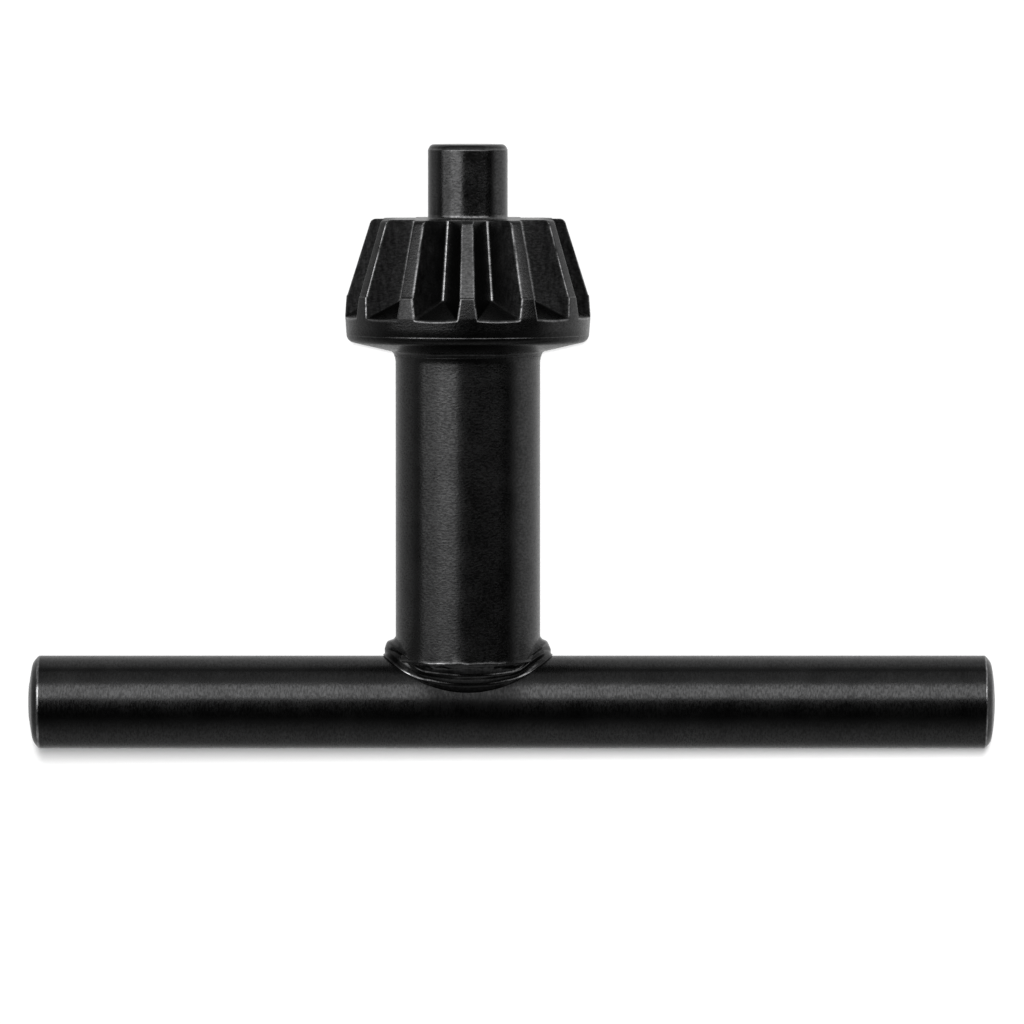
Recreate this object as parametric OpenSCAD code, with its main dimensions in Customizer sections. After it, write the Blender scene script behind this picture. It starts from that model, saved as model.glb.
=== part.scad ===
// Key for a geared drill chuck: a bevel pinion with a pilot on a round shank, welded across a round bar.
// Everything is drawn on the shank's own axis, with the bar's axis along X at height 0, and is then
// laid down the way the finished key rests on a bench. Millimetres.

/* [Pilot] */
// Diameter of the pilot that drops into the hole in the chuck's body
pilot_d = 6; // [5:0.1:7]
// Length of the pilot above the pinion
pilot_len = 5.6; // [4:0.1:9]
// Radius round the end of the pilot
pilot_edge = 0.45; // [0.2:0.05:0.8]
// Radius of the fillet where the pilot meets the pinion
pilot_fillet = 0.2; // [0.1:0.05:0.4]

/* [Bevel pinion] */
// Number of teeth
teeth = 12; // [11:1:13]
// Largest diameter of the pinion, at the forging's parting line
rim_d = 18.5; // [17.5:0.1:20]
// Height of the solid rim, from its lower corner to the foot of the tooth gaps
rim_h = 1.7; // [1.2:0.1:3]
// Height of the parting line above the foot of the tooth gaps
parting_h = 0.2; // [0.15:0.05:0.5]
// Draft of the forging, below and above its parting line, in degrees
rim_draft = 4; // [1:0.5:6]
// Radius of the rim's lower corner
rim_corner = 0.65; // [0.3:0.05:0.9]
// Height of the steep stretch of the teeth above the parting line
tooth_foot_h = 1.5; // [1:0.1:2.5]
// Height of the tapered stretch of the teeth
tooth_face_h = 5.8; // [4.5:0.1:6.5]
// Angle between the shank's axis and the tips of the teeth, in degrees
tip_angle = 17.5; // [15:0.5:19]
// Angle between the shank's axis and the roots of the gaps, in degrees
root_angle = 13.5; // [12.5:0.1:14]
// Angle between the two flanks of a gap, in degrees
gap_angle = 86; // [80:1:90]
// Radius in the root of a gap
gap_root = 0.15; // [0.08:0.01:0.25]
// Slope of the ramp that ends each gap above the rim, in degrees
gap_ramp = 33.5; // [25:0.5:45]
// Radius at the top of the teeth
tooth_edge = 0.45; // [0.2:0.05:0.6]

/* [Shank] */
// Diameter of the shank
shank_d = 10.9; // [10:0.1:12]
// Length of the plain shank, from the weld to the neck
shank_len = 22.9; // [15:0.1:40]
// How much wider the neck is than the shank, on each side
neck_step = 0.2; // [0.1:0.05:0.5]
// Height of the cone that joins the neck to the shank
neck_h = 0.45; // [0.2:0.05:1]
// Slope of the pinion's underside, in degrees
underside_slope = 13; // [5:1:20]

/* [Handle bar] */
// Diameter of the bar
bar_d = 7; // [6:0.1:8]
// Reach of the short arm, from the shank's axis
short_arm = 33.2; // [25:0.1:60]
// Reach of the long arm, from the shank's axis
long_arm = 39.8; // [28:0.1:70]
// Width of the chamfer on each end face
end_chamfer_w = 0.7; // [0.3:0.05:1.2]
// Length of the chamfer along the bar
end_chamfer_l = 0.55; // [0.3:0.05:1.2]
// Height of the crown on the long arm's end face
crown_h = 0.4; // [0.1:0.05:0.8]
// Diameter of the nub left by cropping on the short arm's end face
nub_d = 3; // [2:0.1:4]
// Height of the nub
nub_h = 0.25; // [0.1:0.05:0.4]

/* [Weld] */
// How deep the bar is bedded in the end of the shank
weld_bed = 0.35; // [0.1:0.05:1]
// Thickness of the squeezed-out metal over the bar
weld_rise = 1.45; // [0.8:0.05:2]
// How far the squeezed-out metal stands out past the shank, along the bar
weld_reach = 0.82; // [0.4:0.02:1.4]
// How far the squeezed-out metal runs down the bar's sides, from the bar's top
weld_drop = 2.65; // [2:0.05:3]
// How far the crease between its two lips lies below the bar's top, in front
crease_drop = 1.78; // [1.2:0.02:2]
// Width of the crease
crease_w = 0.25; // [0.1:0.05:0.4]
// Depth of the crease
crease_depth = 0.3; // [0.1:0.05:0.4]
// Width of the slope on the weld's shoulder
weld_shoulder = 0.6; // [0.2:0.05:0.8]
// How far past the weld's reach its rounded underside would meet the bar's top
weld_foot = 0.15; // [0.1:0.05:0.4]

/* [Hidden] */
$fn = 72;
// Facets of the small rounds in an outline, and a length that clears the surface that a cut starts from
round_fn = 32;
clear = 1;
// How far a round laps over the lines that it joins, so that it crosses them and doesn't only touch
round_lap = 0.002;

pilot_r = pilot_d / 2;
rim_r = rim_d / 2;
shank_r = shank_d / 2;
neck_r = shank_r + neck_step;
bar_r = bar_d / 2;

// Heights along the shank, from the bar's axis
shank_end_z = bar_r - weld_bed;
neck_z = shank_end_z + shank_len;
underside_z = neck_z + neck_h;
corner_r = rim_r - (rim_h + parting_h) * tan(rim_draft);
corner_z = underside_z + (corner_r - neck_r) * tan(underside_slope);
rim_z = corner_z + rim_h;
parting_z = rim_z + parting_h;
tooth_foot_z = parting_z + tooth_foot_h;
pinion_top_z = tooth_foot_z + tooth_face_h;
pilot_top_z = pinion_top_z + pilot_len;

// The tips and the roots of the teeth lie on two cones that share one apex
tooth_foot_r = rim_r - tooth_foot_h * tan(rim_draft);
apex_z = tooth_foot_z + tooth_foot_r / tan(tip_angle);
tooth_top_r = (apex_z - pinion_top_z) * tan(tip_angle);

// The weld: a bowl under the shank, cut off by a sleeve round the bar
weld_r = shank_r + weld_reach;
sleeve_r = bar_r + weld_rise;
weld_low_z = bar_r - weld_drop;
bowl_z = pow(weld_r + weld_foot, 2) / (2 * weld_drop);
bowl_r = sqrt(pow(bowl_z, 2) + pow(bar_r, 2) - 2 * bowl_z * weld_low_z);
crease_z = bar_r - crease_drop;
crease_rise = crease_drop - crease_w;
crease_r = (pow(weld_r, 2) + pow(crease_rise, 2)) / (2 * crease_rise);

// The lower corner of the rim, as the outline's corner and the centre of its round
rim_outline = [[neck_r, underside_z], [corner_r, corner_z], [rim_r, parting_z]];
rim_centre = round_centre(rim_outline, rim_corner);

// At rest the key leans on its rim and on the shank's lower edge, or on the bar if that is the wider
edge_span = [rim_centre[0] - shank_r, rim_centre[1] - shank_end_z];
lean_on_shank = atan2(edge_span[0], edge_span[1]) + asin(rim_corner / norm(edge_span));
lean_on_bar = atan2(rim_centre[0], rim_centre[1]) - asin((bar_r - rim_corner) / norm(rim_centre));
lean = min(lean_on_shank, lean_on_bar);
axis_height = rim_centre[0] * cos(lean) - rim_centre[1] * sin(lean) + rim_corner;

// It then rolls until the long arm's end touches down
end_run = [bar_r, long_arm - crown_h - end_chamfer_l];
end_dip = asin(axis_height / norm(end_run)) - atan2(end_run[0], end_run[1]);
roll = asin(sin(end_dip) / cos(lean));

// The middle of the resting key, seen from above
end_face_r = bar_r - end_chamfer_w;
crown_cap_r = cap_radius(end_face_r, crown_h);
nub_cap_r = cap_radius(nub_d / 2, nub_h);
long_end_x = (long_arm - crown_h) * cos(roll) + end_face_r * sin(roll);
long_crown_x = (long_arm - crown_cap_r) * cos(roll) + crown_cap_r;
short_end_x = (short_arm - nub_h) * cos(roll) + end_face_r * sin(roll);
short_nub_x = (short_arm - nub_cap_r) * cos(roll) + nub_cap_r;
middle_x = (max(long_end_x, long_crown_x) - max(short_end_x, short_nub_x)) / 2;
pilot_end_y = (pilot_top_z - pilot_edge) * cos(lean) + (pilot_r - pilot_edge) * sin(lean) + pilot_edge;
bar_dip_y = sin(roll) * sin(lean);
bar_side_y = bar_r * sqrt(1 - pow(bar_dip_y, 2)) + (short_arm - nub_h - end_chamfer_l) * bar_dip_y;
middle_y = (pilot_end_y - bar_side_y) / 2;

function unit(v) = v / norm(v);

// Half of the angle at the middle one of three points
function half_corner(p) = acos(unit(p[0] - p[1]) * unit(p[2] - p[1])) / 2;

// Centre of a round of radius r that touches both legs of the corner p
function round_centre(p, r) =
    p[1] + unit(unit(p[0] - p[1]) + unit(p[2] - p[1])) * r / sin(half_corner(p));

// The two points where that round touches the legs
function round_ends(p, r) = [
    p[1] + unit(p[0] - p[1]) * r / tan(half_corner(p)),
    p[1] + unit(p[2] - p[1]) * r / tan(half_corner(p))
];

// Radius of the sphere whose cap has base radius r and height h
function cap_radius(r, h) = (pow(r, 2) + pow(h, 2)) / (2 * h);

// Puts a part in the place that it has when the key lies at rest
module at_rest() {
    translate([-middle_x, -middle_y, axis_height])
        rotate([lean - 90, 0, 0])
            rotate([0, 0, roll])
                children();
}

// Turns a piece drawn along Z to lie along the bar
module along_bar() {
    rotate([0, 90, 0])
        children();
}

// One round of an outline
module outline_round(p, r) {
    translate(round_centre(p, r))
        circle(r + round_lap, $fn = round_fn);
}

// Half section of the pilot, the pinion blank and the shank
module blank_outline() {
    tooth_corner = [[tooth_foot_r, tooth_foot_z], [tooth_top_r, pinion_top_z], [pilot_r, pinion_top_z]];
    pilot_corner = [[pilot_r, pinion_top_z], [pilot_r, pilot_top_z], [0, pilot_top_z]];
    pilot_foot = [[tooth_top_r, pinion_top_z], [pilot_r, pinion_top_z], [pilot_r, pilot_top_z]];
    difference() {
        union() {
            polygon(concat(
                [[0, shank_end_z], [shank_r, shank_end_z], [shank_r, neck_z], [neck_r, underside_z]],
                round_ends(rim_outline, rim_corner),
                [[rim_r, parting_z], [tooth_foot_r, tooth_foot_z]],
                round_ends(tooth_corner, tooth_edge),
                round_ends(pilot_foot, pilot_fillet),
                round_ends(pilot_corner, pilot_edge),
                [[0, pilot_top_z]]
            ));
            outline_round(rim_outline, rim_corner);
            outline_round(tooth_corner, tooth_edge);
            outline_round(pilot_corner, pilot_edge);
        }
        outline_round(pilot_foot, pilot_fillet);
    }
}

// Cross-section of one gap, with its root on the origin and its mouth towards -X
module gap_section() {
    half = gap_angle / 2;
    mouth = rim_r - pilot_r;
    centre = -gap_root;
    point = centre + gap_root / sin(half);
    touch = [centre + gap_root * sin(half), gap_root * cos(half)];
    spread = (point + mouth) * tan(half);
    polygon([touch, [-mouth, spread], [-mouth, -spread], [touch[0], -touch[1]]]);
    translate([centre, 0])
        circle(gap_root + round_lap, $fn = round_fn);
}

// The metal that the cutter takes out between two teeth, on the +X side
module tooth_gap() {
    start_z = pinion_top_z + clear;
    from_apex = (apex_z - start_z) / cos(root_angle);
    cut_len = (start_z - corner_z) / cos(root_angle);
    reach = rim_r + clear;
    width = rim_d;
    intersection() {
        translate([0, 0, apex_z])
            rotate([0, 180 - root_angle, 0])
                translate([0, 0, from_apex])
                    linear_extrude(cut_len)
                        gap_section();
        rotate([90, 0, 0])
            linear_extrude(width, center = true)
                polygon([
                    [0, rim_z + rim_r * tan(gap_ramp)],
                    [reach, rim_z - clear * tan(gap_ramp)],
                    [reach, start_z + rim_r],
                    [0, start_z + rim_r]
                ]);
    }
}

// The bar's plain round, which the shank and the weld are bedded on
module bar_round() {
    along_bar()
        cylinder(h = 2 * (weld_r + clear), r = bar_r, center = true);
}

module pinion_shank() {
    color([0.30, 0.30, 0.31])
        at_rest()
            difference() {
                rotate_extrude()
                    blank_outline();
                for (i = [0 : teeth - 1])
                    rotate([0, 0, (i + 0.5) * 360 / teeth - 90])
                        tooth_gap();
                bar_round();
            }
}

// Half section of the weld's bowl, with the shoulder that leans back to the shank
module bowl_outline() {
    shoulder_z = sleeve_r - weld_shoulder;
    top = weld_shoulder + clear;
    intersection() {
        translate([0, bowl_z])
            circle(bowl_r, $fn = 2 * $fn);
        polygon([
            [0, -clear],
            [weld_r, -clear],
            [weld_r, shoulder_z],
            [weld_r - top, shoulder_z + top],
            [0, shoulder_z + top]
        ]);
    }
}

// The crease that runs round the weld between its two lips
module weld_crease() {
    difference() {
        translate([0, 0, crease_z + crease_r])
            rotate([90, 0, 0])
                difference() {
                    cylinder(h = 2 * rim_d, r = crease_r + crease_w / 2, center = true, $fn = 4 * $fn);
                    cylinder(h = 3 * rim_d, r = crease_r - crease_w / 2, center = true, $fn = 4 * $fn);
                }
        intersection() {
            translate([0, 0, bowl_z])
                sphere(bowl_r - crease_depth, $fn = 2 * $fn);
            along_bar()
                cylinder(h = 4 * weld_r, r = sleeve_r - crease_depth, center = true);
        }
    }
}

module weld_collar() {
    color([0.24, 0.24, 0.25])
        at_rest()
            difference() {
                intersection() {
                    rotate_extrude()
                        bowl_outline();
                    along_bar()
                        cylinder(h = 2 * (weld_r + clear), r = sleeve_r, center = true);
                }
                translate([0, 0, shank_end_z])
                    cylinder(h = shank_len, r = shank_r);
                bar_round();
                weld_crease();
            }
}

// Half section of a low domed cap on the flat face at height z
module cap_outline(z, r, h) {
    translate([0, z])
        intersection() {
            translate([0, h - cap_radius(r, h)])
                circle(cap_radius(r, h));
            translate([0, -h])
                square([r, 3 * h]);
        }
}

// Half section of the bar, with its length along Y
module bar_outline() {
    short_face = -(short_arm - nub_h);
    long_face = long_arm - crown_h;
    polygon([
        [0, short_face],
        [end_face_r, short_face],
        [bar_r, short_face + end_chamfer_l],
        [bar_r, long_face - end_chamfer_l],
        [end_face_r, long_face],
        [0, long_face]
    ]);
    cap_outline(long_face, end_face_r, crown_h);
    mirror([0, 1])
        cap_outline(-short_face, nub_d / 2, nub_h);
}

module handle_bar() {
    color([0.27, 0.27, 0.28])
        at_rest()
            along_bar()
                rotate_extrude()
                    bar_outline();
}

pinion_shank();
weld_collar();
handle_bar();
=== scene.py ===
# %% [markdown]
# # A drill chuck key in blackened steel
# A chuck key opens and closes the jaws of a drill chuck by hand. Its pilot goes into a hole in the chuck's
# body, its bevel pinion meets the teeth of the chuck's ring, and its cross bar gives the hand something to
# turn. The key is a forging with a turned pilot, and the bar is a length of drawn rod that is welded across
# its end. It lies on a table here, as a loose key does, and the camera looks down at it.
#
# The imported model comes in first. It is the fixed frame that everything else is measured by.

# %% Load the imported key
import math

import bmesh
import bpy
import numpy as np
from mathutils import Matrix, Vector, noise


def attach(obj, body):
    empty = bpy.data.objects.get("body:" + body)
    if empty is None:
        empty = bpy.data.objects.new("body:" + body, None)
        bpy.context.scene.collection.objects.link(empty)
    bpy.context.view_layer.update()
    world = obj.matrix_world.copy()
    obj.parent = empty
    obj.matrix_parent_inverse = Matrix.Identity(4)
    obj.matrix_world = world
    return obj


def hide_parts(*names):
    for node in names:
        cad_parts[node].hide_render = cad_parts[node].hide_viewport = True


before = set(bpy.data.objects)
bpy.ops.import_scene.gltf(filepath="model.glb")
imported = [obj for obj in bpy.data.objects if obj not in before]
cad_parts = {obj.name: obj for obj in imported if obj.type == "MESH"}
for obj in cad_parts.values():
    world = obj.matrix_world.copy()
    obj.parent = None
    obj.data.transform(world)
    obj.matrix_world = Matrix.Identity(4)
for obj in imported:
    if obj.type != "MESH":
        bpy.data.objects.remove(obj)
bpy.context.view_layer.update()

# %% [markdown]
# ## Sizes and the key's own axes
# A key is easiest to think of by itself: the bar runs along x, y points away from the eye, and z climbs the
# shank from the bar's axis. All shapes below are made in those axes, in millimetres. One matrix then lays
# the finished piece on the table, leaning on the pinion's rim and rolled a little on to the long arm, in the
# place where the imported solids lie.

# %% Sizes of the key in millimetres
PILOT_R, PILOT_EDGE, PILOT_FILLET = 3.0, 0.45, 0.2
RIM_R, RIM_DRAFT, RIM_CORNER = 9.25, math.radians(4), 0.65
SHANK_R, NECK_R, UNDERSIDE = 5.45, 5.65, math.radians(13)
TEETH, TIP_ANGLE, ROOT_ANGLE = 12, math.radians(17.5), math.radians(13.5)
GAP_HALF, GAP_ROOT, GAP_RAMP, TOOTH_EDGE = math.radians(43), 0.15, math.radians(33.5), 0.45
BAR_R, SHORT_ARM, LONG_ARM = 3.5, 33.2, 39.8

SHANK_END, NECK_Z, UNDER_Z = 3.15, 26.05, 26.5
CORNER_R = RIM_R - 1.9 * math.tan(RIM_DRAFT)
CORNER_Z = UNDER_Z + (CORNER_R - NECK_R) * math.tan(UNDERSIDE)
GAP_FOOT_Z = CORNER_Z + 1.7
PARTING_Z = GAP_FOOT_Z + 0.2
TOOTH_FOOT_Z = PARTING_Z + 1.5
TOP_Z = TOOTH_FOOT_Z + 5.8
PILOT_TOP = TOP_Z + 5.6
FOOT_R = RIM_R - 1.5 * math.tan(RIM_DRAFT)
TOOTH_TOP_R = FOOT_R - 5.8 * math.tan(TIP_ANGLE)
print("pinion from", round(CORNER_Z, 2), "to", round(TOP_Z, 2), "pilot ends at", round(PILOT_TOP, 2))

# %% Lay a piece on the table
LEAN, ROLL = math.radians(8.549472), math.radians(2.123447)
AXIS_HEIGHT, MIDDLE_X, MIDDLE_Y = 4.921149, 3.299579, 19.169150
lay_down = (
    Matrix.Translation(Vector((-MIDDLE_X, -MIDDLE_Y, AXIS_HEIGHT)))
    @ Matrix.Rotation(LEAN - math.pi / 2, 4, "X")
    @ Matrix.Rotation(ROLL, 4, "Z")
)
on_table = Matrix.Scale(0.001, 4) @ lay_down
print("the bar's axis lies", round(AXIS_HEIGHT, 2), "mm above the table")


# %% Make one mesh object from points and faces
def solid_from(name, points, faces, material=None, placed=True, masks=None):
    mesh = bpy.data.meshes.new(name)
    mesh.from_pydata([tuple(p) for p in points], [], faces)
    for mask, values in (masks or {}).items():
        mesh.attributes.new(mask, "FLOAT", "POINT").data.foreach_set("value", values)
    if placed:
        mesh.transform(on_table)
    shape = bmesh.new()
    shape.from_mesh(mesh)
    bmesh.ops.remove_doubles(shape, verts=shape.verts, dist=1e-7 if placed else 1e-5)
    bmesh.ops.dissolve_degenerate(shape, edges=shape.edges, dist=1e-8)
    bmesh.ops.recalc_face_normals(shape, faces=shape.faces)
    shape.to_mesh(mesh)
    shape.free()
    mesh.shade_smooth()
    if material:
        mesh.materials.append(material)
    piece = bpy.data.objects.new(name, mesh)
    bpy.context.scene.collection.objects.link(piece)
    return piece


# %% Skin a grid of points with four-sided faces
def grid_faces(rows, columns, closed):
    faces = []
    for i in range(rows - 1):
        for j in range(columns if closed else columns - 1):
            k = (j + 1) % columns
            faces.append((i * columns + j, i * columns + k, (i + 1) * columns + k, (i + 1) * columns + j))
    return faces


# %% [markdown]
# ## The blackened finish
# The key is case-hardened steel with a black oxide film, oiled. The film is nearly black and only
# its oil shines, so it reflects as a clear coat does and not as bare metal. Forging scale and blasting leave
# a fine grain, which breaks the reflection of a lamp into tiny points. The film is thin along worn edges,
# and there the steel is a little greyer. The same mask paints highlights too, brighter steel at the roots of
# the teeth, the pilot's fillet, the rim's witness line and the weld. A second mask darkens and roughens the
# oxide: scale and painted shade in the tooth gaps, the same darker finish on the rim wall, and painted shade
# in the weld's hollow, on its lips and under them, and on the bar below the collar. A picture could hold all
# of this, but a pattern that is worked out from the place on the key has no seams and stays sharp close up.
# One Mapping node turns the place of each point back into the key's own axes, in millimetres, so that
# turning marks run round the shank.


# %% Nodes that find a point's place on the key
def key_axes(tree):
    where = tree.nodes.new("ShaderNodeTexCoord")
    turn = tree.nodes.new("ShaderNodeMapping")
    turn.vector_type = "TEXTURE"
    turn.inputs["Location"].default_value = lay_down.to_translation() * 0.001
    turn.inputs["Rotation"].default_value = lay_down.to_euler("XYZ")
    turn.inputs["Scale"].default_value = (0.001, 0.001, 0.001)
    tree.links.new(where.outputs["Object"], turn.inputs["Vector"])
    return turn.outputs["Vector"]


# %% A small helper for one arithmetic node
def sum_node(tree, kind, a, b=None, c=None, clamp=False):
    node = tree.nodes.new("ShaderNodeMath")
    node.operation = kind
    node.use_clamp = clamp
    for socket, value in zip(node.inputs, (a, b, c)):
        if value is None:
            continue
        if isinstance(value, (int, float)):
            socket.default_value = value
        else:
            tree.links.new(value, socket)
    return node.outputs[0]


# %% Noise at a scale in millimetres
def grain(tree, place, size, detail=2.0, rough=0.5, stretch=None):
    speckle = tree.nodes.new("ShaderNodeTexNoise")
    speckle.inputs["Scale"].default_value = 1.0 / size
    speckle.inputs["Detail"].default_value = detail
    speckle.inputs["Roughness"].default_value = rough
    if stretch:
        pull = tree.nodes.new("ShaderNodeVectorMath")
        pull.operation = "MULTIPLY"
        pull.inputs[1].default_value = stretch
        tree.links.new(place, pull.inputs[0])
        place = pull.outputs[0]
    tree.links.new(place, speckle.inputs["Vector"])
    return speckle.outputs[0]


# %% Spread a value over a new range
def spread(tree, value, low, high, to_low, to_high):
    node = tree.nodes.new("ShaderNodeMapRange")
    for socket, number in zip(("From Min", "From Max", "To Min", "To Max"), (low, high, to_low, to_high)):
        node.inputs[socket].default_value = number
    tree.links.new(value, node.inputs["Value"])
    return node.outputs["Result"]


# %% Black oxide
def black_oxide(name, shine, grain_size, grain_depth, gloss, pull, marks=None):
    material = bpy.data.materials.new(name)
    material.use_nodes = True
    tree = material.node_tree
    shader = tree.nodes["Principled BSDF"]
    shader.inputs["Metallic"].default_value = 1.0
    place = key_axes(tree)
    fine = grain(tree, place, grain_size, 2.0, 0.6, pull)
    patches = grain(tree, place, 2.6, 3.0, 0.55)

    bright = spread(tree, patches, 0.3, 0.7, 0.85 * shine, 1.15 * shine)
    bright = sum_node(tree, "MULTIPLY", bright, spread(tree, fine, 0.35, 0.65, 0.74, 1.3))
    gap, wear_and_painted_highlight, burr, turned = (tree.nodes.new("ShaderNodeAttribute") for _ in range(4))
    for node, mask in zip((gap, wear_and_painted_highlight, burr, turned), ("gap", "wear_and_painted_highlight", "burr", "turned")):
        node.attribute_name = mask
    scale = grain(tree, place, 0.32, 3.0, 0.6, (1.0, 1.0, 0.25))
    # Painted shade and scale: this mask darkens and roughens the oxide in the tooth gaps, on the rim wall, in the
    # weld's hollow and creases and on the bar below the collar.
    painted_shade_and_scale = sum_node(tree, "MULTIPLY", gap.outputs["Fac"], spread(tree, scale, 0.35, 0.68, 0.90, 0.76))
    bright = sum_node(tree, "MULTIPLY", bright, sum_node(tree, "SUBTRACT", 1.0, painted_shade_and_scale))
    uneven = spread(tree, grain(tree, place, 0.9, 2.0, 0.5), 0.35, 0.65, 1.6, 4.2)
    # The wear mask makes worn edges greyer, and it also paints highlights at the gaps' roots, the pilot's fillet, the
    # rim's witness line and the weld.
    wear_and_painted_light = sum_node(tree, "MULTIPLY_ADD", wear_and_painted_highlight.outputs["Fac"], uneven, 1.0)
    torn = spread(tree, grain(tree, place, 1.3, 2.0, 0.5), 0.42, 0.6, 0.0, 7.0)
    wear_and_painted_light = sum_node(tree, "MULTIPLY_ADD", burr.outputs["Fac"], torn, wear_and_painted_light)
    bright = sum_node(tree, "MULTIPLY", bright, wear_and_painted_light)
    tone = tree.nodes.new("ShaderNodeCombineColor")
    for channel, share in (("Red", 1.0), ("Green", 1.0), ("Blue", 1.01)):
        tree.links.new(sum_node(tree, "MULTIPLY", bright, share), tone.inputs[channel])
    tree.links.new(tone.outputs["Color"], shader.inputs["Base Color"])

    rough = sum_node(tree, "ADD", spread(tree, patches, 0.3, 0.7, gloss - 0.02, gloss + 0.03),
                     spread(tree, fine, 0.35, 0.65, 0.07, -0.06))
    rough = sum_node(tree, "MULTIPLY_ADD", gap.outputs["Fac"], 0.10, rough)
    rough = sum_node(tree, "MULTIPLY_ADD", turned.outputs["Fac"], -0.04, rough)
    tree.links.new(rough, shader.inputs["Roughness"])

    height = sum_node(tree, "MULTIPLY_ADD", patches, 0.15, fine)
    if marks:
        height = sum_node(tree, "MULTIPLY_ADD", marks(tree, place), 0.5, height)
    bump = tree.nodes.new("ShaderNodeBump")
    bump.inputs["Strength"].default_value = 1.0
    bump.inputs["Distance"].default_value = grain_depth * 0.001
    tree.links.new(height, bump.inputs["Height"])
    tree.links.new(bump.outputs["Normal"], shader.inputs["Normal"])
    return material


# %% Faint rings left by drawing and turning
def rings_along(axis):
    stretch = {"x": (1.0, 0.04, 0.04), "z": (0.04, 0.04, 1.0)}[axis]
    return lambda tree, place: grain(tree, place, 0.12, 1.0, 0.5, stretch)


# %% The three finishes
forged_black = black_oxide("black_oxide_shank", 0.042, 0.13, 0.009, 0.25, (0.5, 0.5, 1.0))
weld_black = black_oxide("black_oxide_weld", 0.042, 0.2, 0.004, 0.22, (1.0, 1.0, 1.0))
drawn_black = black_oxide("black_oxide_bar", 0.042, 0.12, 0.008, 0.25, (1.0, 0.4, 0.4), rings_along("x"))
print("finishes:", forged_black.name, weld_black.name, drawn_black.name)

# %% [markdown]
# ## The blank of the pinion
# The pinion, the shank and the pilot are one forging. Seen without its teeth it is a turned shape, so its
# outline is a list of radius and height, with every corner rounded as wear and tumbling round it. The
# toothed part is left out of the list, because there the outline changes round the circle.


# %% Points on a rounded corner
def corner(middle_r, middle_z, radius, start, end, steps):
    turn = [math.radians(start + (end - start) * i / steps) for i in range(steps + 1)]
    return [(middle_r + radius * math.cos(a), middle_z + radius * math.sin(a)) for a in turn]


# %% The outline below the teeth
def lower_outline():
    burr = [(-0.15, 0.0), (-0.05, 0.01), (0.01, 0.03), (0.035, 0.07), (0.025, 0.12), (0.005, 0.18)]
    rows = [(0.0, SHANK_END), (2.2, SHANK_END)] + [(SHANK_R + out, SHANK_END + rise) for out, rise in burr]
    rows += [(SHANK_R, z) for z in (3.45, 4.0, 5.2, 8.0, 14.0, 20.0, 24.8, 25.7)]
    rows += [(SHANK_R + 0.01, 25.85), (SHANK_R + 0.04, 26.02), (SHANK_R + 0.07, 26.13), (SHANK_R + 0.075, 26.19)]
    rows += [(SHANK_R + 0.03, 26.22), (SHANK_R + 0.03, 26.26), (SHANK_R + 0.09, 26.28)]
    # a hollow fillet carries the neck into the underside
    hollow = 0.4
    middle_r = SHANK_R + 0.1 + hollow
    line_z = UNDER_Z + (middle_r - NECK_R) * math.tan(UNDERSIDE)
    middle_z = line_z - hollow / math.cos(UNDERSIDE)
    rows += corner(middle_r, middle_z, hollow, 180, 90 + math.degrees(UNDERSIDE), 6)
    # the underside runs out to the rim's rounded lower corner
    low = Vector((math.cos(UNDERSIDE), math.sin(UNDERSIDE)))
    wall = Vector((math.sin(RIM_DRAFT), math.cos(RIM_DRAFT)))
    turn = math.acos(max(-1.0, min(1.0, low.dot(wall))))
    back = RIM_CORNER * math.tan(turn / 2)
    tip = Vector((CORNER_R, CORNER_Z))
    start, end = tip - low * back, tip + wall * back
    inward = Vector((-low.y, low.x))
    middle = start + inward * RIM_CORNER
    a0 = math.degrees(math.atan2(start.y - middle.y, start.x - middle.x))
    a1 = math.degrees(math.atan2(end.y - middle.y, end.x - middle.x))
    rows += [(middle_r + 0.4, UNDER_Z + (middle_r + 0.4 - NECK_R) * math.tan(UNDERSIDE)), tuple(start - low * 0.5)]
    rows += corner(middle.x, middle.y, RIM_CORNER, a0, a1, 8)[:-1]
    # a fine witness line, where the two halves of the trimming die met
    rows += [(end.x + wall.x * d + out, end.y + wall.y * d) for d, out in
             ((-0.07, -0.016), (-0.04, 0.0), (-0.02, 0.005), (0.0, 0.0), (0.035, -0.018), (0.1, 0.0))]
    return rows


blank_rows = lower_outline()
print("rows below the teeth:", len(blank_rows), "last at", [round(v, 3) for v in blank_rows[-1]])


# %% The outline above the teeth
def upper_outline():
    fillet, edge = 0.22, PILOT_EDGE
    rows = corner(PILOT_R + fillet, TOP_Z + fillet, fillet, 270, 180, 4)
    rows += [(PILOT_R, TOP_Z + fillet + d) for d in (0.15, 0.8, 2.4, 4.0, 4.7)]
    rise, reach = 0.36, 0.40
    rows += [(PILOT_R, PILOT_TOP - rise - 0.1), (PILOT_R - 0.004, PILOT_TOP - rise - 0.03)]
    for i in range(6):
        a = math.radians(22 + (90 - 22) * i / 5)
        rows.append((PILOT_R - 0.03 - reach * (1 - math.cos(a)) / 1.0 + reach * (1 - math.cos(math.radians(22))),
                     PILOT_TOP - rise * (1 - math.sin(a)) / (1 - math.sin(math.radians(22)))))
    rows += [(rows[-1][0] - 0.08, PILOT_TOP), (1.4, PILOT_TOP), (0.0, PILOT_TOP)]
    return rows


pilot_rows = upper_outline()
print("rows above the teeth:", len(pilot_rows))

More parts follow.
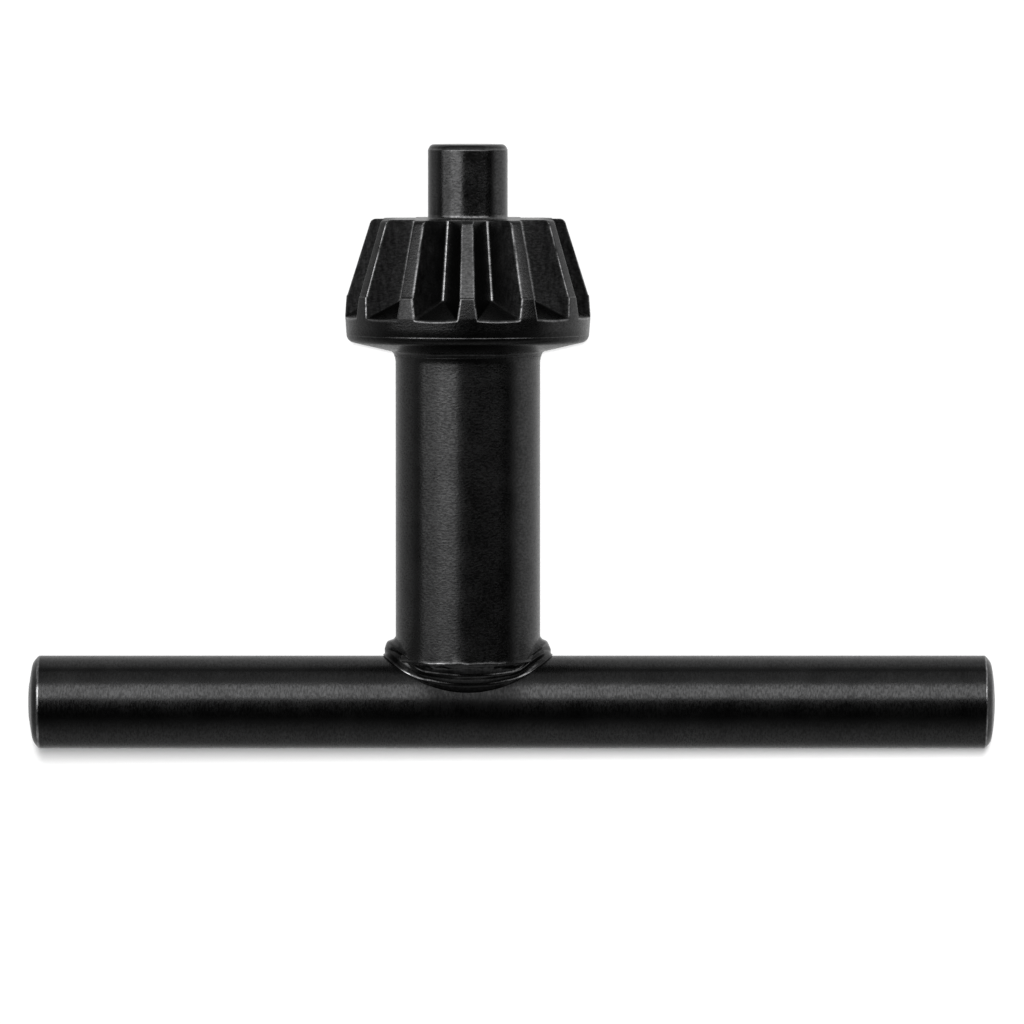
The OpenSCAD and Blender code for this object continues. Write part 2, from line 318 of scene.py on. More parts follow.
# %% [markdown]
# ## One tooth of the bevel pinion
# A bevel pinion's teeth shrink towards a point on its axis. Each gap is milled or forged as a V with a small
# round root, and it runs out on a ramp just above the rim. So one twelfth of the ring is enough: a tooth in
# the middle and half a gap on each side. At every height and angle the surface is the lower of the blank
# and the gap, and the gap is the higher of its flank, its root and its ramp. Where two of them meet, a
# smooth minimum or maximum rounds the edge. The grid's columns follow the tooth's edges up the cone, so that
# each edge stays sharp with few faces.


# %% Smooth lower and higher of two surfaces
def lower_of(a, b, blend):
    h = np.clip(blend - np.abs(a - b), 0, None) / blend
    return np.minimum(a, b) - h * h * blend / 4


def higher_of(a, b, blend):
    return -lower_of(-a, -b, blend)


# %% The blank's radius at a height
def blank_radius(z):
    rim = RIM_R - np.clip(PARTING_Z - z, 0, None) * math.tan(RIM_DRAFT) - np.clip(z - PARTING_Z, 0, None) * math.tan(RIM_DRAFT)
    face = FOOT_R - 0.045 - (z - TOOTH_FOOT_Z) * math.tan(TIP_ANGLE)
    body = np.where(z < TOOTH_FOOT_Z, rim, np.minimum(rim, face + 0.045 * np.clip(1 - (z - TOOTH_FOOT_Z) / 0.09, 0, 1)))
    middle_r = TOOTH_TOP_R - 0.045 - TOOTH_EDGE * (1 - math.sin(TIP_ANGLE)) / math.cos(TIP_ANGLE)
    middle_z = TOP_Z - TOOTH_EDGE
    rounded = middle_r + np.sqrt(np.clip(TOOTH_EDGE ** 2 - (z - middle_z) ** 2, 0, None))
    return np.where(z > middle_z + TOOTH_EDGE * math.sin(TIP_ANGLE), rounded, body)


# %% The gap's radius at a height and an angle from its middle
APEX_Z = TOP_Z + 5.571 / math.tan(ROOT_ANGLE)
FLANK_SLOPE = 1 / (math.tan(GAP_HALF) * math.cos(ROOT_ANGLE))
FLANK_FOOT = (GAP_ROOT - GAP_ROOT / math.sin(GAP_HALF)) / math.cos(ROOT_ANGLE)


def flank_radius(z, off):
    root = (APEX_Z - z) * math.tan(ROOT_ANGLE)
    flank = (root + FLANK_FOOT) / (np.cos(off) - FLANK_SLOPE * np.sin(off))
    across = np.minimum(root * np.tan(off), GAP_ROOT * math.cos(GAP_HALF))
    bottom = (root + (GAP_ROOT - np.sqrt(GAP_ROOT ** 2 - across ** 2)) / math.cos(ROOT_ANGLE)) / np.cos(off)
    return np.where(root * np.tan(off) < GAP_ROOT * math.cos(GAP_HALF), bottom, flank)


def ramp_reach(z):
    return RIM_R - (z - GAP_FOOT_Z) / math.tan(GAP_RAMP)


def gap_radius(z, off):
    return higher_of(flank_radius(z, off), ramp_reach(z) / np.cos(off), 0.1)


print("the gaps' roots meet the axis at", round(APEX_Z, 2))

# %% Angles of the tooth's edges at a height
HALF_PITCH = math.pi / TEETH


def edge_angles(z):
    z = min(z, TOP_Z - 0.12)
    foot = (APEX_Z - z) * math.tan(ROOT_ANGLE) + FLANK_FOOT
    R = float(blank_radius(np.array(z)))
    k = FLANK_SLOPE
    across = (-foot * k + math.sqrt(foot ** 2 * k ** 2 - (k * k + 1) * (foot ** 2 - R * R))) / (k * k + 1)
    land = math.atan2(across, foot + k * across)
    floor = max((ramp_reach(z) - foot) / k, 0.13)
    reach = foot + k * floor
    return HALF_PITCH - land, HALF_PITCH - min(math.atan2(floor, reach), land - 0.25 / R), R


# %% Column angles, from the tooth's middle to the gap's middle
def column_angles(z):
    land, floor, R = edge_angles(z)
    near = min(0.14 / R, land * 0.4)
    inner = 0.10 / R
    crease = min(0.11 / R, (HALF_PITCH - floor) * 0.42)
    marks = [0, 0.55 * (land - near), land - near, land - near / 2, land, land + inner / 2, land + inner]
    a, b = land + inner, floor - crease
    marks += [a + (b - a) * f for f in (0.25, 0.5, 0.75, 1.0)]
    marks += [floor, floor + crease, 0.5 * (floor + crease + HALF_PITCH), HALF_PITCH]
    return np.array(marks)


COLUMNS = len(column_angles(31.0))
even = np.linspace(0, HALF_PITCH, COLUMNS)
print("columns from tooth to gap:", COLUMNS)


# %% Height of the ramp's foot at each angle
def ramp_foot(angles):
    land = edge_angles(GAP_FOOT_Z + 0.12)[0]
    off = HALF_PITCH - np.maximum(angles, land)
    return GAP_FOOT_Z + (RIM_R - 0.014 * 1.0 - (RIM_R - 0.014) * np.cos(off)) * math.tan(GAP_RAMP)


# %% Where the oxide is thin on worn edges, where the roots and ramp creases get painted highlights, and where the flanks are darkened with scale and painted shade
def edge_mask(z, angles, bead=0.0):
    off = HALF_PITCH - angles
    blank, gap = blank_radius(z), gap_radius(z, off) - bead
    edge = np.clip(1.3 - np.abs(blank - gap) / 0.11, 0, 1)
    root = np.clip(1 - np.abs((APEX_Z - z) * math.tan(ROOT_ANGLE) * np.tan(off)) / 0.16, 0, 1)
    root = root * np.clip((z - GAP_FOOT_Z - 1.45) / 0.1, 0, 1)
    flank, ramp = flank_radius(z, off), ramp_reach(z) / np.cos(off)
    painted_crease_highlight = 0.25 * np.clip(1 - np.abs(flank - ramp) / 0.07, 0, 1) * (blank > gap)
    step = 0.6 * np.clip(1 - np.abs(z - TOOTH_FOOT_Z - 0.02) / 0.06, 0, 1) * (blank < gap)
    # Painted light: near the root the flanks are darkened less, and the root and the crease between flank and ramp are
    # painted brighter as painted highlights; the tooth's edges and the step at its foot are real wear.
    painted_light_near_root = np.exp(-((APEX_Z - z) * math.tan(ROOT_ANGLE) * np.tan(off) / 0.5) ** 2)
    scale_and_painted_shade = (gap < blank) * (1 - root) * np.where(ramp > flank, 0.35, 1.0 - 0.2 * painted_light_near_root)
    return scale_and_painted_shade, np.maximum.reduce([edge, 1.2 * root, painted_crease_highlight, step])


# %% Build half a tooth, mirror it and add the rest of the blank
def tooth_sector():
    rings = []
    plain = np.zeros(COLUMNS)
    for r, z in blank_rows:
        # On the rim wall the oxide is made darker and rougher, and the witness line is painted brighter, a painted
        # highlight along the line.
        on_line = abs(z - blank_rows[-1][1] + 0.1) < 0.03
        on_rim = r > 8.0
        rings.append((even, np.full(COLUMNS, r), np.full(COLUMNS, z), plain + 0.42 * on_rim, plain + 0.6 * on_line))
    start = column_angles(GAP_FOOT_Z + 0.12)
    foot = ramp_foot(start)
    for mix, drop in ((0.5, 0.55), (1.0, 0.25), (1.0, 0.13), (1.0, 0.065), (1.0, 0.0), (1.0, -0.065), (1.0, -0.13)):
        angles = even + (start - even) * mix
        z = foot - drop if mix == 1.0 else np.full(COLUMNS, GAP_FOOT_Z - drop)
        r = lower_of(blank_radius(z), gap_radius(z, HALF_PITCH - angles), 0.13)
        rings.append((angles, r, z, *edge_mask(z, angles)))
    heights = [GAP_FOOT_Z + d for d in (0.34, 0.5, 0.7, 0.95, 1.15, 1.3, 1.4, 1.48, 1.56)]
    heights += [TOOTH_FOOT_Z + d for d in (-0.05, 0.0, 0.045, 0.09, 0.16, 0.4, 1.2, 2.4, 3.6, 4.6, 5.2)]
    heights += [TOP_Z - d for d in (0.40, TOOTH_EDGE * (1 - math.sin(TIP_ANGLE)), 0.24, 0.17, 0.12)]
    for height in heights:
        angles = column_angles(height)
        z = np.full(COLUMNS, height)
        r = lower_of(blank_radius(z), gap_radius(z, HALF_PITCH - angles), 0.13)
        rings.append((angles, r, z, *edge_mask(z, angles)))
    bead = 0.08
    for i in range(5):
        a = math.radians(90 * i / 4)
        z = np.full(COLUMNS, TOP_Z - bead * (1 - math.sin(a)))
        drop = bead * (1 - math.cos(a))
        r = lower_of(blank_radius(z), gap_radius(z, HALF_PITCH - angles) - drop, 0.13)
        gap, wear_and_painted_highlight = edge_mask(z, angles, drop)
        rings.append((angles, r, z, gap, np.maximum(wear_and_painted_highlight, gap * math.sin(math.pi * (i + 0.5) / 5) * 0.8)))
    top = rings[-1][1]
    inner_r = pilot_rows[0][0]
    for f in (0.04, 0.3, 0.65, 0.94):
        rings.append((angles + (even - angles) * f, top + (inner_r - top) * f, np.full(COLUMNS, TOP_Z), plain, plain))
    for r, z in pilot_rows:
        pilot_wear_and_highlight = 0.05
        # The whole pilot is lightly worn, and the chamfer's lower edge more so; the fillet at its foot is painted
        # brighter, a painted highlight.
        if abs(z - (PILOT_TOP - 0.36)) < 0.05:
            pilot_wear_and_highlight = 0.8
        if TOP_Z + 0.02 < z < TOP_Z + 0.25:
            pilot_wear_and_highlight = 0.45
        rings.append((even, np.full(COLUMNS, r), np.full(COLUMNS, z), plain, np.full(COLUMNS, pilot_wear_and_highlight)))
    points, gaps, wear_and_highlight_list = [], [], []
    for angles, r, z, gap, wear_and_painted_highlight in rings:
        for side, order in ((-1, range(COLUMNS - 1, 0, -1)), (1, range(COLUMNS))):
            for j in order:
                points.append((r[j] * math.cos(side * angles[j]), r[j] * math.sin(side * angles[j]), z[j]))
                gaps.append(float(gap[j]))
                wear_and_highlight_list.append(float(wear_and_painted_highlight[j]))
    turned = [float(point[2] > TOP_Z + 0.1) for point in points]
    return points, len(rings), 2 * COLUMNS - 1, {"gap": gaps, "wear_and_painted_highlight": wear_and_highlight_list, "turned": turned}


sector_points, sector_rows, sector_columns, sector_masks = tooth_sector()
sector = solid_from("tooth_sector", sector_points, grid_faces(sector_rows, sector_columns, False),
                    placed=False, masks=sector_masks)
print("sector:", sector_rows, "rows,", sector_columns, "columns")

# %% [markdown]
# ## Twelve of them round the axis
# Every tooth of a pinion is the same, so the ring is a rule and not a drawing. A small tree of Geometry
# Nodes places the sector on as many points as there are teeth, turns each by its share of the circle, makes
# the copies real and welds their seams.


# %% The tree that repeats a sector
def ring_tree(name):
    tree = bpy.data.node_groups.new(name, "GeometryNodeTree")
    face = tree.interface
    face.new_socket("Sector", in_out="INPUT", socket_type="NodeSocketGeometry")
    face.new_socket("Teeth", in_out="INPUT", socket_type="NodeSocketInt")
    face.new_socket("Seam", in_out="INPUT", socket_type="NodeSocketFloat")
    face.new_socket("Finish", in_out="INPUT", socket_type="NodeSocketMaterial")
    face.new_socket("Ring", in_out="OUTPUT", socket_type="NodeSocketGeometry")
    node = lambda kind: tree.nodes.new(kind)
    start, end = node("NodeGroupInput"), node("NodeGroupOutput")
    seats, index, share, turn, spin = (
        node("GeometryNodePoints"), node("GeometryNodeInputIndex"), node("ShaderNodeMath"),
        node("ShaderNodeMath"), node("ShaderNodeCombineXYZ"))
    place, real, weld, smooth, finish = (
        node("GeometryNodeInstanceOnPoints"), node("GeometryNodeRealizeInstances"),
        node("GeometryNodeMergeByDistance"), node("GeometryNodeSetShadeSmooth"), node("GeometryNodeSetMaterial"))
    share.operation, turn.operation = "DIVIDE", "MULTIPLY"
    share.inputs[0].default_value = 2 * math.pi
    join = tree.links.new
    join(start.outputs["Teeth"], seats.inputs["Count"])
    join(start.outputs["Teeth"], share.inputs[1])
    join(index.outputs[0], turn.inputs[0])
    join(share.outputs[0], turn.inputs[1])
    join(turn.outputs[0], spin.inputs["Z"])
    join(seats.outputs[0], place.inputs["Points"])
    join(start.outputs["Sector"], place.inputs["Instance"])
    join(spin.outputs[0], place.inputs["Rotation"])
    join(place.outputs[0], real.inputs[0])
    join(real.outputs[0], weld.inputs["Geometry"])
    join(start.outputs["Seam"], weld.inputs["Distance"])
    join(weld.outputs[0], smooth.inputs["Geometry"])
    join(smooth.outputs[0], finish.inputs["Geometry"])
    join(start.outputs["Finish"], finish.inputs["Material"])
    join(finish.outputs[0], end.inputs["Ring"])
    return tree


# %% Turn a piece with a Geometry Nodes modifier into a plain mesh
def grown_piece(name, base, tree, sizes):
    modifier = base.modifiers.new("grow", "NODES")
    modifier.node_group = tree
    for item in tree.interface.items_tree:
        if item.item_type == "SOCKET" and item.in_out == "INPUT" and item.name in sizes:
            modifier[item.identifier] = sizes[item.name]
    grown = bpy.data.meshes.new_from_object(base.evaluated_get(bpy.context.evaluated_depsgraph_get()))
    grown.name = name
    bpy.data.objects.remove(base)
    piece = bpy.data.objects.new(name, grown)
    bpy.context.scene.collection.objects.link(piece)
    return piece


# %% Tear the shank's end a little, as the press does
def tear_end(mesh):
    burr = []
    for vertex in mesh.vertices:
        x, y, z = vertex.co
        r = math.hypot(x, y)
        strength = 0.0
        if SHANK_END + 0.02 < z < SHANK_END + 0.15 and r > SHANK_R:
            turn = math.degrees(math.atan2(x, -y))
            strength = min(1.0, max(0.0, (34 - abs(turn + 4)) / 12)) * (1.0 if turn < 3 else 0.45)
        if z < SHANK_END + 0.2 and y > 0.8 * SHANK_R:
            vertex.co.x *= min(1.0, (SHANK_R - 0.01) / r)
            vertex.co.y *= min(1.0, (SHANK_R - 0.01) / r)
        elif z < SHANK_END + 0.2 and r > SHANK_R - 0.2:
            wave = noise.noise(Vector((x, y, 4.0)) * 1.1)
            vertex.co.z += 0.06 * wave
            vertex.co.x += x / r * 0.03 * wave
            vertex.co.y += y / r * 0.03 * wave
        burr.append(strength)
    mesh.attributes.new("burr", "FLOAT", "POINT").data.foreach_set("value", burr)


# %% Grow the pinion and lay it down
pinion = grown_piece("pinion_and_shank", sector, ring_tree("ring_of_teeth"),
                     {"Teeth": TEETH, "Seam": 0.0005, "Finish": forged_black})
pinion.data.transform(Matrix.Rotation(-math.pi / 2, 4, "Z"))
tear_end(pinion.data)
pinion.data.transform(on_table)
shape = bmesh.new()
shape.from_mesh(pinion.data)
bmesh.ops.recalc_face_normals(shape, faces=shape.faces)
loose = [e for e in shape.edges if len(e.link_faces) != 2]
shape.to_mesh(pinion.data)
shape.free()
print("pinion and shank:", len(pinion.data.polygons), "faces, open edges", len(loose))

# %% [markdown]
# ## The collar of weld metal
# The bar is pressed on to the shank's end while both are hot, and metal is squeezed out all round. On the
# key it shows as a shoulder at each side, and in front as two thin lips with a crease between them. A swept
# tube would give an even bead, and this collar isn't even: it climbs on to the shank at the sides and dips
# on to the bar in front. So it is a skin between two curves, one on the shank and one on the bar, with its
# folds moved along and out from the straight line between them.


# %% The curve on the bar and the curve on the shank
def curve_on_bar():
    x = np.linspace(0, 6.41, 200)
    z = 0.93 + x * x / 15.8
    y = -np.sqrt(np.clip(BAR_R ** 2 - z * z, 0, None))
    return np.degrees(np.arctan2(-y, x))[::-1], np.hypot(x, y)[::-1], z[::-1]


BAR_SIDE = curve_on_bar()


def low_end(angle):
    return np.interp(angle, BAR_SIDE[0], BAR_SIDE[1]) - 0.02, np.interp(angle, BAR_SIDE[0], BAR_SIDE[2]) - 0.02


def high_end(angle):
    climb = np.interp(angle, [0, 8, 20, 30, 40, 46, 55, 90], [5.02, 4.96, 4.62, 4.1, 3.4, 3.2, 3.17, 3.17])
    reach = np.interp(angle, [0, 40, 46, 60, 90], [SHANK_R - 0.02, SHANK_R - 0.02, 5.3, 5.1, 5.05])
    return reach, climb


# %% Folds of the skin: how far along it they lie and how far they stand out
FOLD_ANGLES = [0, 14, 30, 50, 90]
FOLDS = {
    "shoulder_top": ([0.147, 0.12, 0.08, 0.04, 0.04], [0.02, 0.04, 0.06, 0.00, -0.02]),
    "shoulder": ([0.40, 0.30, 0.18, 0.08, 0.08], [0.28, 0.27, 0.15, -0.02, -0.04]),
    "crease": ([0.69, 0.47, 0.33, 0.30, 0.17], [0.21, 0.08, -0.10, -0.13, -0.10]),
    "upper_ledge": ([0.80, 0.51, 0.39, 0.34, 0.325], [0.11, 0.09, -0.06, -0.13, -0.03]),
    "upper_lip": ([0.87, 0.58, 0.46, 0.41, 0.39], [0.04, 0.17, 0.13, -0.01, 0.10]),
    "lip_crease": ([0.90, 0.80, 0.70, 0.60, 0.57], [0.04, 0.02, -0.06, -0.08, -0.02]),
    "lower_ledge": ([0.93, 0.86, 0.86, 0.68, 0.64], [0.08, 0.03, 0.00, -0.03, 0.00]),
    "lower_lip": ([0.95, 0.91, 0.925, 0.74, 0.70], [0.10, 0.08, 0.08, 0.07, 0.10]),
    "foot": ([0.98, 0.965, 0.965, 0.93, 0.92], [0.05, 0.05, 0.06, 0.06, 0.04]),
}
# on the short arm's side the lip has a hollow instead
HOLLOW = {"crease": (0.05, -0.10), "upper_ledge": (-0.02, -0.14), "upper_lip": (-0.05, -0.16), "lip_crease": (0.00, -0.10)}


def fold_at(name, angle, left):
    along, out = FOLDS[name]
    if name in HOLLOW:
        hollow = list(out)
        hollow[1:3] = HOLLOW[name]
        out = [a + (b - a) * left for a, b in zip(out, hollow)]
    return np.interp(angle, FOLD_ANGLES, along), np.interp(angle, FOLD_ANGLES, out)


# %% One inside a band and nothing outside it, with soft ends
def band(value, middle, half, soft):
    return min(1.0, max(0.0, 1 + (half - abs(value - middle)) / soft))


# %% The collar's skin, ring by ring round the shank
def weld_collar_skin(around, along):
    rng = np.random.default_rng(7)
    waves = [(rng.uniform(0, 6.28), rng.uniform(0, 6.28)) for _ in range(8)]
    points, wear_and_painted_highlight, painted_shade_marks = [], [], []
    for j in range(around):
        turn = 2 * math.pi * j / around
        left = math.cos(turn) < 0
        side = abs(((math.degrees(turn) + 90) % 180) - 90)
        shift = sum(math.sin((n + 2) * turn + a) / (n + 3) for n, (a, b) in enumerate(waves)) * 0.02
        swell = 1 + sum(math.sin((n + 1) * turn + b) / (n + 2) for n, (a, b) in enumerate(waves)) * 0.15
        top_r, top_z = high_end(side)
        low_r, low_z = low_end(side)
        marks, outs = [0.0], [0.0]
        for name in FOLDS:
            t, out = fold_at(name, side, float(left))
            marks.append(t + shift * t * (1 - t) * 4)
            outs.append(out * swell)
        edge_mark = marks[-2]
        marks.append(1.0)
        outs.append(0.0)
        across, down = low_r - top_r, low_z - top_z
        length = math.hypot(across, down)
        outward = Vector((-down, across)) / length
        t = np.linspace(0, 1, along)
        bulge = smooth_through(marks, outs, t)
        for s, n in zip(t, bulge):
            r, z = top_r + across * s + outward.x * n, top_z + down * s + outward.y * n
            point = Vector((r * math.cos(turn), r * math.sin(turn), z))
            ripple = noise.noise(point * 0.9) * 0.05 * math.sin(math.pi * s)
            ripple += noise.noise(point * 2.3) * 0.07 * max(0.0, 1 - abs(s - 0.17) / 0.15) * (side > 44)
            points.append(point + Vector((point.x, point.y, 0)).normalized() * ripple)
            # Painted highlights, not wear: a bright streak along the lower lip's edge that is strongest on the short
            # arm's side, a lit facet part way down each side, and a patch on the shoulder on the short arm's side.
            reach, strength, at = (12, 5.0, 38) if left else (6.5, 1.0, 34)
            painted_streak_highlight = band(s, edge_mark - 0.01, 0.01, 0.04) * min(1.0, 1.6 * band(side, at, 0, reach))
            middle, width, share = (0.60, 0.06, 0.6) if left else (0.50, 0.08, 0.5)
            painted_facet_highlight = band(s, middle, 0, width) * band(side, 34, 2, 6) * share
            pressed = band(s, 0.2, 0, 0.18) * band(side, 58, 0, 16) * 0.5 * left
            wear_and_painted_highlight.append(max(painted_streak_highlight * strength, painted_facet_highlight, pressed))
            # Painted shade: darker oxide in the hollow on the short arm's side, over the upper lip there, along the
            # lips in front and behind, and under them down to the bar.
            hollow = band(s, 0.77, 0.08, 0.04) * band(side, 30, 17, 7) * left
            lip = 0.8 * band(s, marks[5] - 0.04, 0.10, 0.04) * band(side, 60, 14, 6) * left
            painted_shade_front_lip = 0.6 * band(s, edge_mark, 0.03, 0.03) * band(side, 90, 36, 8)
            painted_shade_under_lips = 0.95 * band(s, 1.0, 1 - edge_mark - 0.07, 0.03) * band(side, 90, 36, 8)
            painted_shade_marks.append(max(hollow, lip, painted_shade_front_lip, painted_shade_under_lips))
        for r, z in ((low_r - 0.35, low_z - 0.12 if side > 25 else low_z - 0.4), (top_r - 0.5, top_z + 0.25 if side > 44 else top_z - 0.2)):
            points.append((r * math.cos(turn), r * math.sin(turn), z))
            wear_and_painted_highlight.append(0.0)
            painted_shade_marks.append(0.0)
    return points, around, along + 2, {"wear_and_painted_highlight": wear_and_painted_highlight, "gap": painted_shade_marks}


# %% A smooth line through marks (a monotone cubic)
def smooth_through(marks, values, at):
    x, y = np.array(marks), np.array(values)
    steps, rises = np.diff(x), np.diff(y)
    slopes = rises / steps
    tangents = np.zeros(len(x))
    for i in range(1, len(x) - 1):
        if slopes[i - 1] * slopes[i] > 0:
            tangents[i] = 2 * slopes[i - 1] * slopes[i] / (slopes[i - 1] + slopes[i])
    tangents[0], tangents[-1] = slopes[0], slopes[-1]
    i = np.clip(np.searchsorted(x, at, side="right") - 1, 0, len(x) - 2)
    u = (at - x[i]) / steps[i]
    return (y[i] * (1 + 2 * u) * (1 - u) ** 2 + tangents[i] * steps[i] * u * (1 - u) ** 2
            + y[i + 1] * u * u * (3 - 2 * u) + tangents[i + 1] * steps[i] * u * u * (u - 1))


weld_points, weld_rings, weld_ring, weld_masks = weld_collar_skin(240, 71)
weld_faces = []
for i in range(weld_rings):
    for j in range(weld_ring):
        a, b, c, d = i, (i + 1) % weld_rings, (j + 1) % weld_ring, j
        weld_faces.append((a * weld_ring + d, b * weld_ring + d, b * weld_ring + c, a * weld_ring + c))
weld = solid_from("weld_collar_skin", weld_points, weld_faces, weld_black, masks=weld_masks)
print("weld collar:", len(weld.data.polygons), "faces")

# %% [markdown]
# ## The cross bar
# The bar is cut from drawn rod. Its short arm keeps the lathe's small nub inside a chamfer, and its long arm
# ends in a low dome. It is a turned shape too, so its outline is turned round the x axis, with closer rows
# where the outline bends.


# %% The bar's outline from the short arm's nub to the long arm's dome
def bar_outline():
    nub = [(-33.2, 0.0), (-33.165, 0.9), (-33.15, 1.28), (-33.13, 1.43), (-33.1, 1.53), (-33.08, 1.7), (-33.03, 2.0)]
    chamfer = [(-32.98, 2.3), (-32.93, 2.6), (-32.88, 2.82), (-32.82, 2.98), (-32.74, 3.12), (-32.62, 3.27),
               (-32.51, 3.395), (-32.45, 3.45), (-32.40, 3.48), (-32.35, 3.495), (-32.28, BAR_R)]
    stock = [(x, BAR_R) for x in (-32.2, -31.9, -30.0, -25.0, -16.0, -8.0)]
    stock += [(x / 2, BAR_R) for x in range(-11, 12)]
    stock += [(x, BAR_R) for x in (8.0, 20.0, 30.0, 36.0, 38.5, 38.9)]
    dome = [(38.98, BAR_R), (39.04, 3.49), (39.09, 3.465), (39.15, 3.41), (39.25, 3.30), (39.38, 3.14), (39.48, 2.97),
            (39.54, 2.78), (39.60, 2.45), (39.66, 2.05), (39.71, 1.6), (39.76, 1.0), (39.78, 0.5), (39.8, 0.0)]
    return nub + chamfer + stock + dome


# %% Turn the bar
def turned_bar(around):
    rows = bar_outline()
    points, wear_and_painted_highlight, painted_shade_below_collar = [], [], []
    for x, r in rows:
        for j in range(around):
            a = 2 * math.pi * j / around
            points.append((x, r * math.cos(a), r * math.sin(a)))
            wear_and_painted_highlight.append(2.0 if 3.44 < r < 3.497 else 0.0)
            # Painted shade: the top of the bar is darker under the collar, where the shank and collar shade it.
            painted_shade_below_collar.append(0.72 * band(x, 0.3, 2.9, 1.6) * band(r * math.sin(a), BAR_R, BAR_R, 1.0))
    return solid_from("cross_bar", points, grid_faces(len(rows), around, True), drawn_black,
                      masks={"wear_and_painted_highlight": wear_and_painted_highlight, "gap": painted_shade_below_collar})


bar = turned_bar(160)
print("bar:", len(bar.data.polygons), "faces")

# %% [markdown]
# ## Hand the pieces over
# Nothing on the key moves, so every piece rides on the one body, and the imported solid that each new piece stands for
# is hidden.

# %% Ride on the body and hide the imported solid
for piece, node, finish in (
    (pinion, "pinion_shank", "black_oxide_shank"),
    (weld, "weld_collar", "black_oxide_weld"),
    (bar, "handle_bar", "black_oxide_bar"),
):
    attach(piece, "root")
    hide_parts(node)
print("pieces:", [p.name for p in (pinion, weld, bar)])

# %% [markdown]
# ## Table, lamp and camera
# The photograph is a plain product picture on white. Five soft lamps light only the key: one at its left, a
# dimmer one further round, a wide one above and two faint cards, so the round pieces show broad grainy bands.
# The table doesn't show in the key's reflections, and a grey room lights the key's edges instead. The table
# has two lamps of its own: the bar alone shades one a little above the camera, and the pinion and shank alone
# shade the other, which stands where the camera does. The camera stands square to the key's front, a little
# towards the pilot.

# %% White table
bpy.ops.mesh.primitive_plane_add(size=4.0, location=(0, 0, 0))
table = bpy.context.object
table.name = "table"
white = bpy.data.materials.new("white_table")
white.use_nodes = True
white.node_tree.nodes["Principled BSDF"].inputs["Base Color"].default_value = (0.9, 0.9, 0.9, 1)
white.node_tree.nodes["Principled BSDF"].inputs["Roughness"].default_value = 0.9
white.node_tree.nodes["Principled BSDF"].inputs["Specular IOR Level"].default_value = 0.0
table.data.materials.append(white)

# %% Camera square to the key's front
right, up = lay_down.to_3x3() @ Vector((1, 0, 0)), lay_down.to_3x3() @ Vector((0, 0, 1))
front = lay_down.to_3x3() @ Vector((0, -1, 0))
DISTANCE, RAISED = 700.0, math.radians(3.1)
PICTURE_WIDE = 1024 / 13.25
target = lay_down @ Vector((3.33, 0, 14.37))
toward = front * math.cos(RAISED) + up * math.sin(RAISED)
camera = bpy.data.objects.new("camera", bpy.data.cameras.new("camera"))
bpy.context.scene.collection.objects.link(camera)
camera.data.sensor_width = 36
camera.data.lens = 36 * DISTANCE / PICTURE_WIDE
camera.data.clip_start, camera.data.clip_end = 0.01, 10
view_up = (up - toward * up.dot(toward)).normalized()
view_right = view_up.cross(toward).normalized()
stand = Matrix((view_right, view_up, toward)).transposed().to_4x4()
stand.translation = (target + toward * DISTANCE) * 0.001
camera.matrix_world = stand
bpy.context.scene.camera = camera
print("camera stands", [round(v, 3) for v in stand.translation])


# %% A soft lamp seen from the key at two angles
def soft_lamp(name, left_from, left_to, up_from, up_to, radiance, distance=0.6):
    aside, above = math.radians((left_from + left_to) / 2), math.radians((up_from + up_to) / 2)
    way = front * math.cos(aside) * math.cos(above) - right * math.sin(aside) * math.cos(above) + up * math.sin(above)
    lamp = bpy.data.lights.new(name, "AREA")
    lamp.shape = "RECTANGLE"
    lamp.size = 2 * distance * math.tan(math.radians(left_to - left_from) / 2)
    lamp.size_y = 2 * distance * math.tan(math.radians(up_to - up_from) / 2)
    lamp.energy = radiance * math.pi * lamp.size * lamp.size_y
    body = bpy.data.objects.new(name, lamp)
    bpy.context.scene.collection.objects.link(body)
    tall = (up - way * up.dot(way)).normalized()
    wide = tall.cross(way).normalized()
    frame_of_lamp = Matrix((wide, tall, way)).transposed().to_4x4()
    frame_of_lamp.translation = target * 0.001 + way * distance
    body.matrix_world = frame_of_lamp
    return body


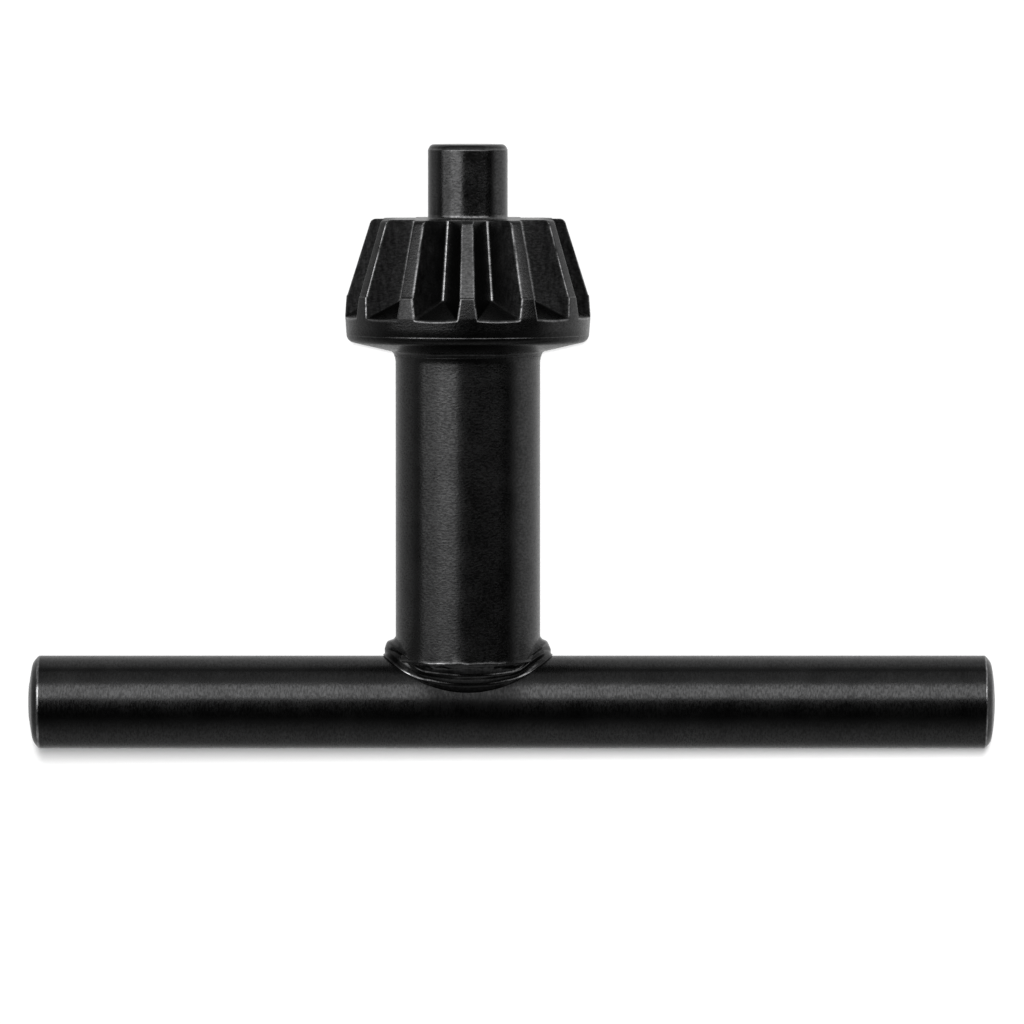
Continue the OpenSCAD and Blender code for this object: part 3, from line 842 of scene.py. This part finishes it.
# %% Five lamps for the key, two for the table
key_only = bpy.data.collections.new("lit_key")
table_only = bpy.data.collections.new("lit_table")
for piece in (pinion, weld, bar):
    key_only.objects.link(piece)
table_only.objects.link(table)
left_box = soft_lamp("left_box", 17, 50, -4, 26, 2.6)
far_left_box = soft_lamp("far_left_box", 50, 78, -5, 28, 1.5)
top_box = soft_lamp("top_box", -56, 54, 12, 47, 2.4)
back_card = soft_lamp("back_card", -50, 50, 50, 86, 0.4)
right_card = soft_lamp("right_card", -80, -55, 18, 46, 0.3)
table_box = soft_lamp("table_box", -2.5, 2.5, 4.4, 16.5, 142.0, 4.0)
table_front = soft_lamp("table_front", -0.4, 0.4, 2.7, 3.5, 5100.0, 5.0)
for lamp in (left_box, far_left_box, top_box, back_card, right_card):
    lamp.light_linking.receiver_collection = key_only
bar_only, shank_only = bpy.data.collections.new("bar_shades_table"), bpy.data.collections.new("shank_shades_table")
bar_only.objects.link(bar)
shank_only.objects.link(pinion)
for lamp, blockers in ((table_box, bar_only), (table_front, shank_only)):
    lamp.light_linking.receiver_collection = table_only
    lamp.light_linking.blocker_collection = blockers
table.visible_glossy = False

# %% Grey room
world = bpy.data.worlds.new("studio")
world.use_nodes = True
tree = world.node_tree
look = tree.nodes.new("ShaderNodeTexCoord")
parts = tree.nodes.new("ShaderNodeSeparateXYZ")
tree.links.new(look.outputs["Generated"], parts.inputs[0])
down = sum_node(tree, "MINIMUM", parts.outputs["Y"], 0.0)
slant = sum_node(tree, "MULTIPLY_ADD", sum_node(tree, "MAXIMUM", parts.outputs["X"], 0.0), -0.1, parts.outputs["Z"])
sides = sum_node(tree, "MULTIPLY", spread(tree, slant, 0.16, -0.2, 0.008, 0.66),
                 sum_node(tree, "MULTIPLY_ADD", parts.outputs["X"], 0.35, 1.0))
sides = sum_node(tree, "MULTIPLY", sides, spread(tree, down, -0.8, 0.0, 0.0, 1.0))
below = sum_node(tree, "MULTIPLY", spread(tree, parts.outputs["Z"], 0.75, -0.05, 0.02, 0.43),
                 spread(tree, down, -0.15, -0.92, 0.0, 1.0))
strength = sum_node(tree, "ADD", sides, below)
tree.links.new(strength, tree.nodes["Background"].inputs["Strength"])
tree.nodes["Background"].inputs["Color"].default_value = (1, 1, 1, 1)
bpy.context.scene.world = world
bpy.context.scene.view_settings.view_transform = "Standard"
bpy.context.scene.view_settings.look = "None"
